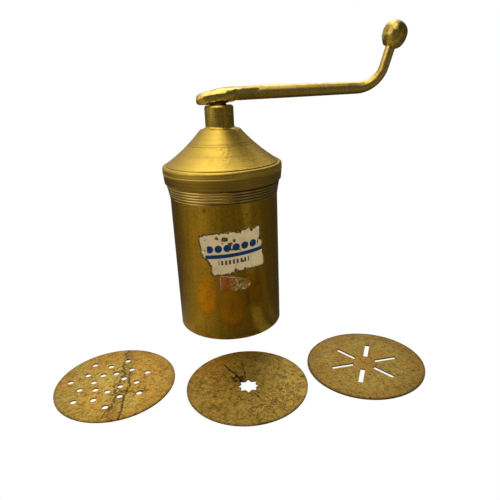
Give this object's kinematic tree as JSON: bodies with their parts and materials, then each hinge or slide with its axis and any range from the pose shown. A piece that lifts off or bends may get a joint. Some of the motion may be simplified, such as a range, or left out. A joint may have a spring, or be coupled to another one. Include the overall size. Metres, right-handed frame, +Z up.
{
  "type": "screw potato ricer",
  "caption": "Hand-cranked brass screw press: a threaded spindle drives a piston down a round barrel and through a loose die disc.",
  "frame": {"origin": "centre of the barrel's foot, on the surface that the press stands on", "axes": "+Z up the spindle, +X along the crank's arm, -Y towards the three loose discs"},
  "size_m": [0.2175, 0.1568, 0.19],
  "materials": {
    "barrel_brass": "worn polished brass, darkened",
    "cap_brass": "worn turned brass",
    "crank_brass": "hammered and handled brass",
    "spindle_brass": "dark greasy brass",
    "piston_brass": "dull turned brass",
    "round_die_brass": "tarnished sheet brass",
    "star_die_brass": "scratched dull sheet brass",
    "slot_die_brass": "dull sheet brass",
    "label_paper": "torn matt paper with a plain blue bar",
    "label_glue": "dried reddish-brown glue stain"
  },
  "bodies": {
    "barrel": {"barrel_tube": "barrel_brass", "foot_ring": "barrel_brass", "barrel_collar": "barrel_brass", "paper_label": "label_paper", "label_stain": "label_glue"},
    "cap": {"cap_shell": "cap_brass", "boss_nut": "cap_brass"},
    "piston": {"piston_plate": "piston_brass", "piston_hub": "piston_brass", "hub_rivets": "piston_brass"},
    "crank": {"spindle": "spindle_brass", "journal_pin": "spindle_brass", "thrust_washer": "spindle_brass", "retaining_washer": "spindle_brass", "crank_arm": "crank_brass", "crank_knob": "crank_brass"},
    "round_hole_disc": {"round_hole_die": "round_die_brass"},
    "star_disc": {"star_die": "star_die_brass"},
    "slot_disc": {"slot_die": "slot_die_brass"}
  },
  "joints": [
    {"name": "cap_lift", "type": "slide", "parent": "barrel", "child": "cap", "axis": [0, 0, 1], "range_m": [0, 0.125]},
    {"name": "piston_travel", "type": "slide", "parent": "cap", "child": "piston", "axis": [0, 0, 1], "range_m": [0, 0.0901]},
    {"name": "crank_turn", "type": "hinge", "parent": "piston", "child": "crank", "pos_m": [0, 0, 0], "axis": [0, 0, 1], "range_deg": [0, 6480]},
    {"name": "round_hole_disc_lift", "type": "slide", "parent": "barrel", "child": "round_hole_disc", "axis": [0, 0, 1], "range_m": [0, 0.06]},
    {"name": "star_disc_lift", "type": "slide", "parent": "barrel", "child": "star_disc", "axis": [0, 0, 1], "range_m": [0, 0.06]},
    {"name": "slot_disc_lift", "type": "slide", "parent": "barrel", "child": "slot_disc", "axis": [0, 0, 1], "range_m": [0, 0.06]}
  ],
  "couplings": [
    {"joint": "piston_travel", "follows": "crank_turn", "m_per_rad": 0.00079577}
  ]
}
